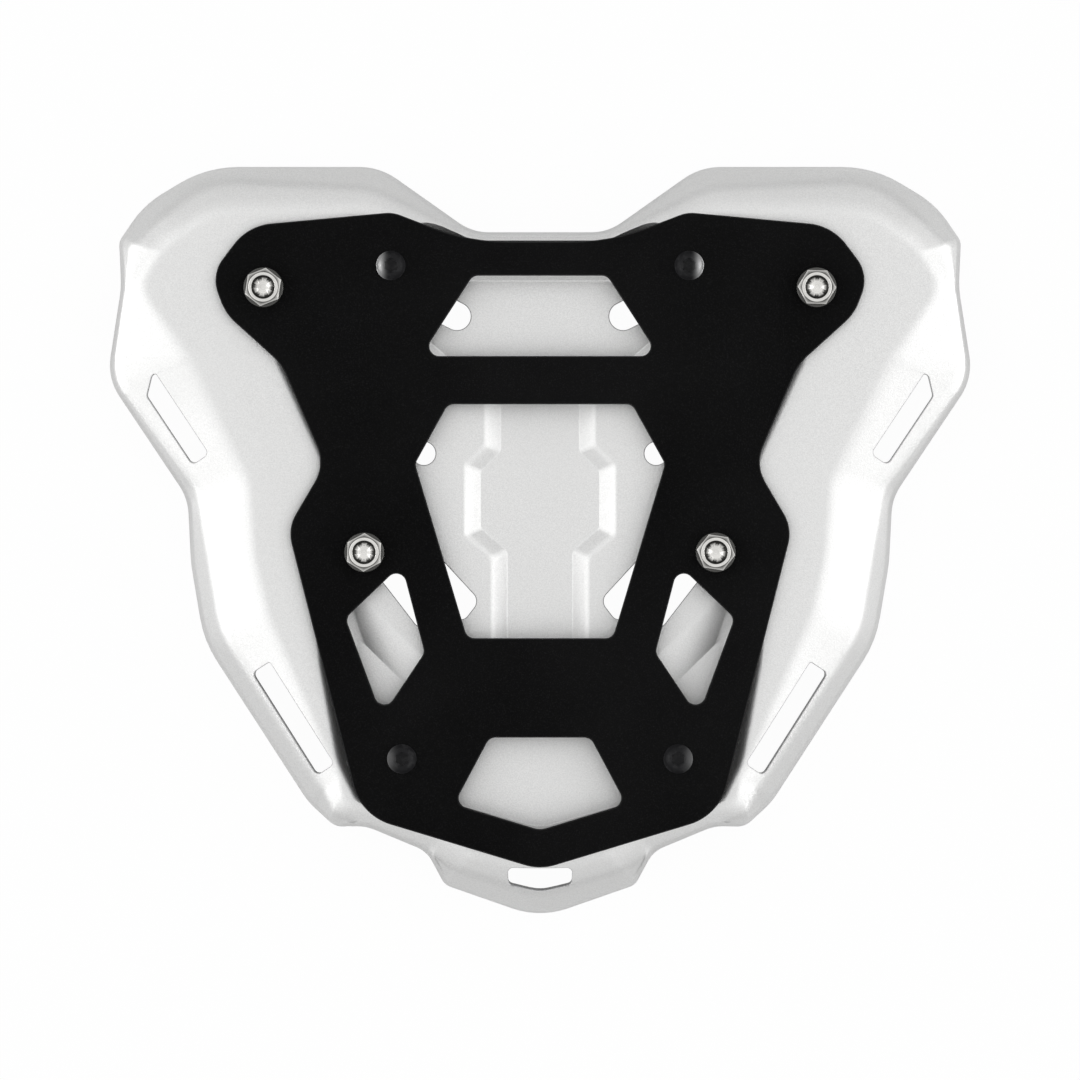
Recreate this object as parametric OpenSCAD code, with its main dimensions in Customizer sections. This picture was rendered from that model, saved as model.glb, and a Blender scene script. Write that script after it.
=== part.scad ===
// Luggage rack for a motorcycle tail.
// A tray pressed from one aluminium sheet stands on its turned-down rim. A flat steel adapter
// plate lies on the tray's raised shoulder and bridges the pocket that is pressed into its middle.
// Four hex bolts and four button screws hold the plate, and the hex heads carry a top case.
// +Y points to the wide end, +Z up. The origin is the middle of the area that the rack stands on.

/* [Tray] */
// Thickness of the aluminium sheet
sheet_t = 3; // [2.5:0.1:3.4]
// Height of the shoulder above the surface that the rim stands on
tray_h = 24; // [22:0.5:30]
// Overall width across the wings
rack_w = 335.6; // [320:1:360]
// Half of the width at the waist
waist_x = 137.6; // [134:0.5:142]
// Distance from the middle to the straight edge of the wide end
lobe_y = 145.8; // [140:0.5:155]
// Distance from the middle to the edge of the notch between the two lobes
notch_y = 120.1; // [118.5:0.5:124]
// Distance from the middle to the corner of the lip at the narrow end
lip_y = 147.8; // [144:0.5:156]
// Plan width of the near-vertical skirt along the rim
skirt_w = 1.4; // [1:0.1:2]
// Greatest drop from the shoulder to the bend of the flange
shoulder_drop = 7; // [5:0.5:9]
// Steepest slope of the shoulder, in degrees
shoulder_angle = 28; // [20:1:32]
// Slope of the turned-down flange, in degrees
flange_angle = 55; // [45:1:58]
// Length of the soft bend at the edge of the shoulder, on each side of it
shoulder_bend = 6; // [4:0.5:8]
// Length of the bend at the top of the flange, on each side of it
flange_bend = 3.5; // [2:0.5:5]

/* [Pocket and channel] */
// Depth of the pocket under the shoulder
pocket_depth = 6.5; // [5:0.5:8]
// Length of the bend at the pocket's mouth, on each side of it
pocket_bend = 5; // [3:0.5:6]
// Depth of the channel and its two heads under the pocket's floor
channel_depth = 3.5; // [3:0.5:6]
// Plan width of the channel's wall
channel_wall = 5.9; // [5:0.1:7]
// Length of the bend at the channel's mouth, on each side of it
channel_bend = 2.6; // [1.5:0.1:3]
// Half of the channel's floor where it is wide
channel_wide = 23.2; // [20:0.2:24]
// Half of the channel's floor towards the wide end of the rack
channel_upper = 15.3; // [12:0.1:17]
// Half of the channel's floor towards the lip
channel_lower = 12.7; // [10:0.1:14]

/* [Openings in the tray] */
// Width of the strap slots in the wings
wing_slot_w = 8; // [6:0.2:9]
// Length of the strap slots in the wings
wing_slot_len = 37.5; // [30:0.5:42]
// Length of the slanted end of a wing slot
wing_slot_cut = 5.4; // [3:0.2:7]
// Sheet left between a wing slot and the outline
wing_slot_edge = 8.8; // [7:0.1:11]
// Width of the strap slots beside the lip
side_slot_w = 8.8; // [6:0.2:9.6]
// Length of the strap slots beside the lip
side_slot_len = 47; // [38:0.5:50]
// Sheet left between a side slot and the outline
side_slot_edge = 8.9; // [8:0.1:10]
// Radius in the corners of the strap slots
slot_corner = 2.2; // [1:0.1:2.6]
// Half of the width of the slot in the lip
lip_slot_x = 12.6; // [9:0.2:16]
// Height in plan of the slot in the lip, at its ends
lip_slot_h = 7.4; // [5.5:0.1:8]
// Diameter of the two round holes for the carrier's bolts
carrier_hole_d = 9; // [6.6:0.1:10]
// Distance between the two round holes
carrier_spacing = 90.4; // [86:0.2:94]
// Width of the two long holes at the wide end
long_hole_d = 10.8; // [8:0.1:11]
// Distance between the inner ends of the long holes
long_hole_spacing = 64.8; // [62:0.2:70]
// Travel of a bolt in a long hole
long_hole_travel = 6.4; // [0:0.2:7]

/* [Adapter plate] */
// Thickness of the steel plate
plate_t = 5; // [3:0.5:8]
// Radius in the corners of the plate's windows
window_corner = 4.4; // [3:0.1:5]

/* [Fasteners] */
// Thread of the hex bolts
bolt_d = 8; // [6:0.5:8]
// Width across the flats of a hex bolt's head and of its nut
bolt_af = 13; // [12:0.5:14]
// Height of a hex bolt's head
bolt_head_h = 6.8; // [5:0.1:9]
// Diameter of the six-lobe recess in a hex bolt's head
lobe_recess_d = 7; // [5:0.1:8]
// Depth of the six-lobe recess
lobe_recess_h = 4; // [2:0.1:4.5]
// Outer diameter of a hex bolt's washer
washer_d = 15.4; // [15:0.1:16.5]
// Thickness of a hex bolt's washer
washer_t = 1.6; // [1:0.1:2.5]
// Thread of the button screws
screw_d = 6; // [5:0.5:6]
// Head diameter of the button screws
screw_head_d = 11.4; // [10:0.1:12.5]
// Head height of the button screws
screw_head_h = 3.4; // [2.5:0.1:4.5]
// Width across the flats of a button screw's socket
socket_af = 4.6; // [3:0.1:5]
// Depth of a button screw's socket
socket_h = 2; // [1:0.1:2.2]
// Width across the flats of a button screw's nut
screw_nut_af = 10; // [9:0.5:11]
// Height of a locknut, as a share of its thread
nut_ratio = 0.95; // [0.8:0.05:1]
// Thread that stands out of a nut
thread_out = 1.2; // [0.5:0.1:2]
// Gap that paint and burrs leave between a nut and the sheet
nut_gap = 0.05; // [0.02:0.01:0.1]
// Outer diameter of the spacers under the plate
spacer_d = 14; // [12:0.2:15]
// How much wider a hole is than the thread that passes through it
hole_play = 0.5; // [0.3:0.1:1]
// Play between a thread and the bore of its washer, spacer or nut
thread_play = 0.3; // [0.2:0.1:0.5]

/* [Hidden] */
// How far cutting tools reach past the surfaces that they cut
over = 2;
reach = 12;
// Steps in the arc of a rounded corner and in a bend of the sheet
corner_steps = 2;
bend_steps = 2;
// Steps around a true circle
round_steps = 48;

// Distance from the middle to the wing's corner before it is rounded
wing_x = rack_w / 2 + 1.1;
pocket_z = tray_h - pocket_depth;
channel_z = pocket_z - channel_depth;
plate_z = tray_h + plate_t;
bolt_nut_h = nut_ratio * bolt_d;
screw_nut_h = nut_ratio * screw_d;

// Corners of the tray's outline, from the notch round the left side to the lip. A row holds
// x, y, corner radius, plan widths of flange and shoulder, and the height of the rim's edge.
TRAY = [
    [-26.5, notch_y, 20, 1.2, 4, 8],
    [-62.6, lobe_y, 25, 7, 8, 1],
    [-130.4, lobe_y, 45, 4, 11, 1],
    [-154.8, lobe_y - 14.8, 45, 6, 10, 1],
    [4.3 - wing_x, lobe_y - 29.2, 5.7, 4, 10, 1],
    [5.6 - wing_x, 99, 40, 1.2, 4, 11],
    [-wing_x, 63.2, 22, 1.2, 28, 10.5],
    [-waist_x, 16.2, 21, 4, 18, 4],
    [1.1 - waist_x, -9, 60, 6.6, 16.2, 0],
    [6.2 - waist_x, -39.5, 45, 6.6, 18, 0],
    [-90.5, -102.6, 30, 6, 7.5, 0],
    [-79.8, -112.2, 8, 2.5, 5, 3],
    [-68.5, -111.3, 18, 0.4, 5, 14],
    [-44, -121.5, 12, 0.6, 6, 13],
    [-37.3, 13 - lip_y, 6, 6, 8, 0],
    [0, -lip_y, 33, 6.8, 10, 0],
];
WING_EDGE = 6;
SIDE_EDGE = 9;

// Corners of the pocket's mouth: x, y, corner radius and plan width of the wall below.
// A narrow crest of sheet is left between the pocket and the notch.
POCKET = [
    [-24, notch_y - 3.5, 16, 6],
    [-42, notch_y + 7.5, 7, 8],
    [-47, 116, 8, 8],
    [-45, 104, 8, 7],
    [-62, 96.5, 8, 7],
    [-90, 83, 12, 9],
    [-103, 72.5, 8, 13],
    [-82, 27.5, 14, 12],
    [-87, 2, 14, 10],
    [-84.5, -48, 24, 8],
    [-78.5, -86, 24, 6.5],
    [-70, -101, 8, 6.5],
    [-59, -104.5, 8, 6.5],
    [0, -121, 20, 6.5],
];

// Corners of the floor of the channel and its two heads: x, y, corner radius and plan width
// of the wall above.
CHANNEL = [
    [-28, 101, 8, channel_wall],
    [-42, 93, 5, 5],
    [-46.5, 85, 5, 5],
    [-46.5, 80.2, 4, channel_wall],
    [-30, 66, 5, channel_wall],
    [-channel_upper, 63, 4, channel_wall],
    [-channel_upper, 34.6, 4, channel_wall],
    [-channel_wide, 26.8, 3, channel_wall],
    [-channel_wide, 4.6, 3, channel_wall],
    [-channel_lower, -4.2, 4, channel_wall],
    [-channel_lower, -68, 4, channel_wall],
    [-35, -73.5, 5, channel_wall],
    [-72.5, -36.5, 4, channel_wall],
    [-72, -50, 12, 4.5],
    [-66.5, -82, 12, 5],
    [-61, -91, 6, 5],
    [-54.5, -94, 6, 5],
    [0, -109, 16, 5],
];

// Corners of the adapter plate: x, y and corner radius.
PLATE = [
    [-27.4, 116, 90],
    [-57.2, 127.4, 13],
    [-113.5, 122.2, 20],
    [-127.9, 103.2, 16],
    [-122.3, 88, 20],
    [-100.6, 68.4, 22],
    [-83.6, 29.3, 16],
    [-98.1, 4.6, 15],
    [-69.7, -107.1, 21],
    [0, -128.2, 20],
];
UPPER_WINDOW = [[-26.1, 102.8, window_corner], [-46.3, 71.5, window_corner]];
MIDDLE_WINDOW = [
    [-35.8, 52.8, window_corner],
    [-48.6, 29.6, window_corner],
    [-28.3, -38.2, window_corner],
];
LOWER_WINDOW = [
    [-19.6, -76.8, window_corner],
    [-33.4, -102.7, window_corner],
    [0, -112.8, 2 * window_corner],
];
// The left one of the windows beside the channel, and the opening in the tray's floor under it.
SIDE_WINDOW = [
    [-53.8, -9.6, window_corner],
    [-75.6, -30.4, window_corner],
    [-61.5, -68.6, window_corner],
    [-44.9, -43.8, window_corner],
];
FLOOR_OPENING = [
    [-44, -1.5, 6],
    [-63.5, -13.4, 3],
    [-47.6, -34, 3],
    [-29, -30.6, 3],
    [-23.6, -23.6, 4],
];
CARRIER_Y = 33.7;
LONG_HOLE_Y = 87.2;
LONG_HOLE_TURN = -27;
LIP_SLOT_INSET = 20.9;

// Hex bolts and button screws: name, x, y and the height of the sheet's upper face below them.
CASE_BOLTS = [
    ["wide_left", -107.5, 98.2, tray_h],
    ["wide_right", 107.5, 98.2, tray_h],
    ["waist_left", -68.3, -4.8, pocket_z],
    ["waist_right", 68.3, -4.8, pocket_z],
];
PLATE_SCREWS = [
    ["wide_left", -58, 106.7, tray_h],
    ["wide_right", 58, 106.7, tray_h],
    ["lip_left", -53.7, -85.1, channel_z],
    ["lip_right", 53.7, -85.1, channel_z],
];
BOLT_SPACERS = [for (b = CASE_BOLTS) if (b[3] < tray_h) b];
SCREW_SPACERS = [for (s = PLATE_SCREWS) if (s[3] < tray_h) s];

// Plane geometry. Loops run anticlockwise seen from above, so the inside is on their left.

function unit(v) = v / norm(v);
function leftward(v) = [-v.y, v.x];
function around(list, i) = list[(i + len(list)) % len(list)];
function level(points, z) = [for (p = points) [p.x, p.y, z]];

// A closed list of rows from its left half. Rows on the middle line aren't repeated.
function both_halves(half) = concat(half, [
    for (i = [len(half) - 1 : -1 : 0])
        if (half[i][0] != 0) concat([-half[i][0]], [for (k = [1 : len(half[i]) - 1]) half[i][k]])
]);

// The corner of row i, moved inwards by w from both edges that meet there.
function inset_corner(rows, i, w) =
    let (
        here = [rows[i].x, rows[i].y],
        before = around(rows, i - 1),
        after = around(rows, i + 1),
        a = unit(here - [before.x, before.y]),
        b = unit([after.x, after.y] - here)
    )
    here + leftward(unit(a + b)) * w / sqrt((1 + a * b) / 2);

// Points of an arc of radius r in the corner b between a and c.
function corner_arc(a, b, c, r) =
    let (
        u = unit(a - b),
        v = unit(c - b),
        weight = sqrt(max(0, (1 - u * v) / 2)),
        half_tan = weight / sqrt(max(0.0001, (1 + u * v) / 2)),
        cut = min(r / half_tan, 0.47 * norm(a - b), 0.47 * norm(c - b))
    )
    [for (k = [0 : corner_steps])
        let (
            s = k / corner_steps,
            start = pow(1 - s, 2),
            middle = 2 * weight * s * (1 - s),
            end = pow(s, 2)
        )
        (start * (b + u * cut) + middle * b + end * (b + v * cut)) / (start + middle + end)];

// A closed, rounded ring of points. widths and heights hold an inset and a height for each row.
function ring(rows, widths, heights) =
    let (c = [for (i = [0 : len(rows) - 1]) inset_corner(rows, i, widths[i])])
    [for (i = [0 : len(rows) - 1])
        each [for (p = corner_arc(around(c, i - 1), c[i], around(c, i + 1), rows[i][2]))
            [p.x, p.y, heights[i]]]];

function outline(rows) =
    let (none = [for (r = rows) 0])
    [for (p = ring(rows, none, none)) [p.x, p.y]];

// The point at the share s of a bend of the given length at b, on the way from a to c.
function bend_point(a, b, c, length, s) =
    let (
        start = b + (a - b) * min(length / norm(a - b), 0.47),
        end = b + (c - b) * min(length / norm(c - b), 0.47)
    )
    pow(1 - s, 2) * start + 2 * s * (1 - s) * b + pow(s, 2) * end;

// The rings of a skin, with a bend of its own length at each coarse ring but the first and last.
function rolled(coarse, bends) = concat(
    [coarse[0]],
    [for (k = [1 : len(coarse) - 2], s = [0 : bend_steps])
        [for (i = [0 : len(coarse[k]) - 1])
            bend_point(coarse[k - 1][i], coarse[k][i], coarse[k + 1][i], bends[k - 1], s / bend_steps)]],
    [coarse[len(coarse) - 1]]
);

// Each point of a skin's rings, moved by the distance t to the far side of the sheet.
function below(rings, t) =
    [for (k = [0 : len(rings) - 1])
        [for (i = [0 : len(rings[k]) - 1])
            let (
                here = rings[k][i],
                along = unit(around(rings[k], i + 1) - here) + unit(here - around(rings[k], i - 1)),
                out = k > 0 ? unit(here - rings[k - 1][i]) : [0, 0, 0],
                in = k < len(rings) - 1 ? unit(rings[k + 1][i] - here) : [0, 0, 0]
            )
            here - t * unit(cross(along, out + in))]];

// A closed solid through rings with equal numbers of points, from the lowest to the highest.
module loft(rings) {
    n = len(rings[0]);
    last = len(rings) - 1;
    sides = [
        for (k = [0 : last - 1], i = [0 : n - 1])
            let (a = k * n + i, b = k * n + (i + 1) % n)
            each [[a, a + n, b + n], [a, b + n, b]]
    ];
    polyhedron(
        points = [for (r = rings) each r],
        faces = concat([[for (i = [0 : n - 1]) i]], sides, [[for (i = [n - 1 : -1 : 0]) last * n + i]])
    );
}

module on_both_sides() {
    children();
    mirror([1, 0, 0]) children();
}

// Tray

tray_rows = both_halves(TRAY);

function drop_of(row) = min(shoulder_drop, row[4] * tan(shoulder_angle));
function inset_of(row, part) =
    part == 0 ? 0
    : skirt_w + (part > 1 ? row[3] : 0) + (part > 2 ? row[4] : 0) + (part > 3 ? shoulder_bend : 0);
function height_of(row, part) =
    part == 0 ? row[5]
    : part == 1 ? tray_h - drop_of(row) - row[3] * tan(flange_angle)
    : part == 2 ? tray_h - drop_of(row)
    : tray_h;

// The tray's upper skin before its pocket is pressed: skirt, flange, shoulder and top.
function tray_skin() = rolled(
    [for (part = [0 : 4]) ring(
        tray_rows,
        [for (r = tray_rows) inset_of(r, part)],
        [for (r = tray_rows) height_of(r, part)]
    )],
    [skirt_w, flange_bend, shoulder_bend]
);

// Everything under the upper skin, down past the rim.
module tray_block() {
    skin = tray_skin();
    loft(concat([level(skin[0], -over)], skin));
}

// Everything under the lower skin, and all that lies outside below the rim's edge.
module tray_hollow() {
    skin = below(tray_skin(), sheet_t);
    edge = [for (r = tray_rows) r[5]];
    rim = ring(tray_rows, [for (r = tray_rows) sheet_t], edge);
    outside = ring(tray_rows, [for (r = tray_rows) -over], edge);
    loft(concat(
        [level(outside, -2 * over), outside, rim],
        [for (k = [2 : len(skin) - 1]) skin[k]]
    ));
}

// The space in a pressed tub between the heights top and floor, or with sheet = 1 the space with
// its wall of sheet. The rows give the corners of its mouth, or with at_floor = 1 of its floor.
module tub(rows, at_floor, top, floor, bend, sheet) {
    loops = both_halves(rows);
    wall = [for (r = loops) r[3]];
    foot = [for (w = wall) at_floor == 1 ? 0 : w];
    skin = concat(
        [ring(loops, [for (f = foot) f + 0.4], [for (r = loops) floor])],
        rolled([
            ring(loops, foot, [for (r = loops) floor]),
            ring(loops, foot - wall, [for (r = loops) top]),
            ring(loops, [for (i = [0 : len(loops) - 1]) foot[i] - wall[i] - bend], [for (r = loops) top + 0.05])
        ], [bend])
    );
    shape = sheet == 1 ? below(skin, -sheet_t) : skin;
    loft(concat(shape, [level(shape[len(shape) - 1], top + reach)]));
}

module pocket_tub(sheet) {
    tub(POCKET, 0, tray_h, pocket_z, pocket_bend, sheet);
}

module channel_tub(sheet) {
    tub(CHANNEL, 1, pocket_z, channel_z, channel_bend, sheet);
}

// A slot beside the straight edge from corner i of the outline to the next. Its walls are turned
// square to the sloping sheet, and one corner of its first end may be cut off at a slant.
module edge_slot(i, start, width, length, edge, cut) {
    a = [TRAY[i].x, TRAY[i].y];
    b = [TRAY[i + 1].x, TRAY[i + 1].y];
    shoulder = (TRAY[i][4] + TRAY[i + 1][4]) / 2;
    translate([a.x, a.y, 0])
        rotate([0, 0, atan2(b.y - a.y, b.x - a.x)])
            translate([start + length / 2, edge + width / 2, tray_h - shoulder_drop / 2])
                rotate([atan2(shoulder_drop, shoulder), 0, 0])
                    linear_extrude(height = 2 * reach, center = true)
                        polygon(outline([
                            [-length / 2, width / 2, slot_corner],
                            [-length / 2, width / 4, slot_corner],
                            [cut - length / 2, -width / 2, slot_corner],
                            [length / 2, -width / 2, slot_corner],
                            [length / 2, width / 2, slot_corner],
                        ]));
}

module strap_slots() {
    on_both_sides() {
        edge_slot(WING_EDGE, 9.3, wing_slot_w, wing_slot_len, wing_slot_edge, wing_slot_cut);
        edge_slot(SIDE_EDGE, 20.9, side_slot_w, side_slot_len, side_slot_edge, 0);
    }
}

module lip_slot() {
    translate([0, LIP_SLOT_INSET - lip_y, tray_h - shoulder_drop / 2])
        rotate([atan2(shoulder_drop, TRAY[len(TRAY) - 1][4]) / 2, 0, 0])
            linear_extrude(height = 2 * reach, center = true)
                polygon(outline(both_halves([
                    [-lip_slot_x, 0, slot_corner],
                    [0.3 - lip_slot_x, -lip_slot_h, slot_corner],
                    [0, -1.38 * lip_slot_h, 6 * slot_corner],
                ])));
}

module through_hole(place, d) {
    translate([place[0], place[1], -over])
        cylinder(h = tray_h + plate_t + 2 * over, d = d, $fn = round_steps);
}

// Holes for the bolts that fix the rack to its carrier on the motorcycle.
module carrier_holes() {
    on_both_sides() {
        through_hole([-carrier_spacing / 2, CARRIER_Y], carrier_hole_d);
        translate([-long_hole_spacing / 2, LONG_HOLE_Y, 0])
            rotate([0, 0, LONG_HOLE_TURN]) {
                through_hole([0, 0], long_hole_d);
                through_hole([-long_hole_travel, 0], long_hole_d);
                translate([-long_hole_travel, -long_hole_d / 2, -over])
                    cube([long_hole_travel, long_hole_d, tray_h + over]);
            }
    }
}

module floor_openings() {
    on_both_sides()
        linear_extrude(height = tray_h)
            polygon(outline(FLOOR_OPENING));
}

// The sheet with its slots and openings, but without its round holes.
module pressed_sheet() {
    resize([rack_w, 0, 0])
        difference() {
            tray_block();
            difference() {
                tray_hollow();
                pocket_tub(1);
                channel_tub(1);
            }
            pocket_tub(0);
            channel_tub(0);
            strap_slots();
            lip_slot();
            floor_openings();
        }
}

module pressed_tray() {
    color([0.80, 0.80, 0.81])
        difference() {
            pressed_sheet();
            carrier_holes();
            for (b = CASE_BOLTS) through_hole([b[1], b[2]], bolt_d + hole_play);
            for (s = PLATE_SCREWS) through_hole([s[1], s[2]], screw_d + hole_play);
        }
}

// Adapter plate

module plate_window(rows) {
    translate([0, 0, tray_h - over])
        linear_extrude(height = plate_t + 2 * over)
            polygon(outline(rows));
}

module adapter_plate() {
    color([0.06, 0.06, 0.06])
        difference() {
            translate([0, 0, tray_h])
                linear_extrude(height = plate_t)
                    polygon(outline(both_halves(PLATE)));
            plate_window(both_halves(UPPER_WINDOW));
            plate_window(both_halves(MIDDLE_WINDOW));
            plate_window(both_halves(LOWER_WINDOW));
            on_both_sides() plate_window(SIDE_WINDOW);
            for (b = CASE_BOLTS) through_hole([b[1], b[2]], bolt_d + hole_play);
            for (s = PLATE_SCREWS) through_hole([s[1], s[2]], screw_d + hole_play);
        }
}

// Fasteners

// A hexagonal prism whose corners are chamfered at the top, and at the bottom too if both is 1.
module chamfered_hex(af, h, both) {
    end_d = 0.94 * af;
    far_d = end_d + 2 * h / tan(30);
    intersection() {
        cylinder(h = h, d = af / cos(30), $fn = 6);
        cylinder(h = h, d1 = far_d, d2 = end_d, $fn = round_steps);
        cylinder(h = h, d1 = both == 1 ? end_d : far_d, d2 = far_d, $fn = round_steps);
    }
}

// A recess with six round lobes and the cone that its drill left.
module six_lobe_recess() {
    lobes = [
        for (turn = [0 : 7.5 : 352.5])
            (0.44 + 0.06 * cos(6 * turn)) * lobe_recess_d * [cos(turn), sin(turn)]
    ];
    translate([0, 0, -lobe_recess_h])
        linear_extrude(height = lobe_recess_h + over)
            polygon(lobes);
    translate([0, 0, -lobe_recess_h - 1])
        cylinder(h = 1, d1 = 0, d2 = 0.72 * lobe_recess_d, $fn = round_steps);
    translate([0, 0, -0.5])
        cylinder(h = 1, d1 = 1.1 * lobe_recess_d, d2 = 1.5 * lobe_recess_d, $fn = round_steps);
}

module hex_bolt(b) {
    seat = plate_z + washer_t;
    foot = b[3] - sheet_t - bolt_nut_h - thread_out;
    color([0.74, 0.74, 0.72])
        translate([b[1], b[2], 0])
            difference() {
                union() {
                    translate([0, 0, seat])
                        rotate([0, 0, 10 + 17 * b[1] / 100])
                            chamfered_hex(bolt_af, bolt_head_h, 0);
                    translate([0, 0, foot])
                        cylinder(h = seat + 1 - foot, d = bolt_d, $fn = round_steps);
                }
                translate([0, 0, seat + bolt_head_h]) six_lobe_recess();
            }
}

module washer(b) {
    color([0.70, 0.70, 0.69])
        translate([b[1], b[2], plate_z])
            difference() {
                cylinder(h = washer_t, d = washer_d, $fn = round_steps);
                translate([0, 0, -over])
                    cylinder(h = washer_t + 2 * over, d = bolt_d + thread_play, $fn = round_steps);
            }
}

// A hexagonal locknut that hangs below the height top, with the round collar of its insert.
module locknut(x, y, top, thread, af, h) {
    hex_h = 0.74 * h;
    color([0.72, 0.72, 0.70])
        translate([x, y, top - h])
            difference() {
                union() {
                    translate([0, 0, h - hex_h]) chamfered_hex(af, hex_h, 1);
                    cylinder(h = h - hex_h / 2, d = 0.86 * af, $fn = round_steps);
                }
                translate([0, 0, -over])
                    cylinder(h = h + 2 * over, d = thread + thread_play, $fn = round_steps);
            }
}

module bolt_nut(b) {
    locknut(b[1], b[2], b[3] - sheet_t - nut_gap, bolt_d, bolt_af, bolt_nut_h);
}

module screw_nut(s) {
    locknut(s[1], s[2], s[3] - sheet_t - nut_gap, screw_d, screw_nut_af, screw_nut_h);
}

// A tube between the sheet and the plate, around the thread.
module spacer(place, thread) {
    color([0.62, 0.62, 0.62])
        translate([place[1], place[2], place[3]])
            difference() {
                cylinder(h = tray_h - place[3], d = spacer_d, $fn = round_steps);
                translate([0, 0, -over])
                    cylinder(h = tray_h - place[3] + 2 * over, d = thread + thread_play, $fn = round_steps);
            }
}

module button_screw(s) {
    foot = s[3] - sheet_t - screw_nut_h - thread_out;
    dome_r = (pow(screw_head_h + 0.3, 2) + pow(screw_head_d / 2, 2)) / (2 * screw_head_h + 0.6);
    color([0.09, 0.09, 0.09])
        translate([s[1], s[2], 0])
            difference() {
                union() {
                    intersection() {
                        translate([0, 0, plate_z])
                            cylinder(h = screw_head_h, d = screw_head_d, $fn = round_steps);
                        translate([0, 0, plate_z + screw_head_h + 0.3 - dome_r])
                            sphere(r = dome_r, $fn = round_steps);
                    }
                    translate([0, 0, foot])
                        cylinder(h = plate_z + 0.5 - foot, d = screw_d, $fn = round_steps);
                }
                translate([0, 0, plate_z + screw_head_h - socket_h])
                    cylinder(h = socket_h + over, d = socket_af / cos(30), $fn = 6);
            }
}

pressed_tray();
adapter_plate();
for (b = CASE_BOLTS) {
    hex_bolt(b);
    washer(b);
    bolt_nut(b);
}
for (b = BOLT_SPACERS)
    spacer(b, bolt_d);
for (s = PLATE_SCREWS) {
    button_screw(s);
    screw_nut(s);
}
for (s = SCREW_SPACERS)
    spacer(s, screw_d);
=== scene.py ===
"""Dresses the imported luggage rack: a blasted sheet tray, a powder-coated adapter plate and its fasteners.

Sizes are in millimetres and become metres where a mesh is made. +Y is the wide end, +Z is up.
"""

import math

import bmesh
import bpy
from mathutils import Matrix, Vector
from mathutils.bvhtree import BVHTree
from mathutils.interpolate import poly_3d_calc


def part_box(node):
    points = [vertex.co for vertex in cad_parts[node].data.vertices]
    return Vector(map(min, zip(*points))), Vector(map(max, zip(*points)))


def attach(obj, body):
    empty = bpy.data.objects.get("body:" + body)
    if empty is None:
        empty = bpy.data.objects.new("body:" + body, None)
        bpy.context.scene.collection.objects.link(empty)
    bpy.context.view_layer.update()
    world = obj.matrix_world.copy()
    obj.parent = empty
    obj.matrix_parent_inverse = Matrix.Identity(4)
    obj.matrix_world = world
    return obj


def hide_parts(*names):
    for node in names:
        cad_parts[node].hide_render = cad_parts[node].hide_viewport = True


bl_info = {
    "name": "Luggage rack",
    "version": (1, 0, 0),
    "blender": (4, 5, 0),
    "location": "3D View > Sidebar > Rack",
    "description": "Builds a luggage rack with its adapter plate and fasteners around the packed solids",
    "category": "Object",
}

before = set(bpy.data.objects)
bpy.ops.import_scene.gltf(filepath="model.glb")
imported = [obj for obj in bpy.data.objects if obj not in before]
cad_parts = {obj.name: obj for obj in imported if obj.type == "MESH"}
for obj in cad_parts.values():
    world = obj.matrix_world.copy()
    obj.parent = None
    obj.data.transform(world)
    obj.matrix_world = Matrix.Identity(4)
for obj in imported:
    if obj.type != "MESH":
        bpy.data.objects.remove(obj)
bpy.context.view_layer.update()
TRAY_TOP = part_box("pressed_tray")[1].z * 1000
PLATE_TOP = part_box("adapter_plate")[1].z * 1000
TRAY_WIDTH = (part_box("pressed_tray")[1].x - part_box("pressed_tray")[0].x) * 1000
MM = 0.001

# The tables repeat those of the part's source, but a few walls of POCKET and CHANNEL lie up to 7 mm
# elsewhere, where the photograph shows them. Each outline is given for the left side. A TRAY row
# holds x, y, corner radius, plan widths of flange and shoulder, and the height of the rim's edge.
TRAY = [
    (-26.5, 120.1, 20, 1.2, 4, 8),
    (-62.6, 145.8, 25, 7, 8, 1),
    (-130.4, 145.8, 45, 4, 11, 1),
    (-154.8, 131, 45, 6, 10, 1),
    (-164.6, 116.6, 5.7, 4, 10, 1),
    (-163.3, 99, 40, 1.2, 4, 11),
    (-168.9, 63.2, 22, 1.2, 28, 10.5),
    (-137.6, 16.2, 21, 4, 18, 4),
    (-136.5, -9, 60, 6.6, 16.2, 0),
    (-131.4, -39.5, 45, 6.6, 18, 0),
    (-90.5, -102.6, 30, 6, 7.5, 0),
    (-79.8, -112.2, 8, 2.5, 5, 3),
    (-68.5, -111.3, 18, 0.4, 5, 14),
    (-44, -121.5, 12, 0.6, 6, 13),
    (-37.3, -134.8, 6, 6, 8, 0),
    (0, -147.8, 33, 6.8, 10, 0),
]
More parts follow.
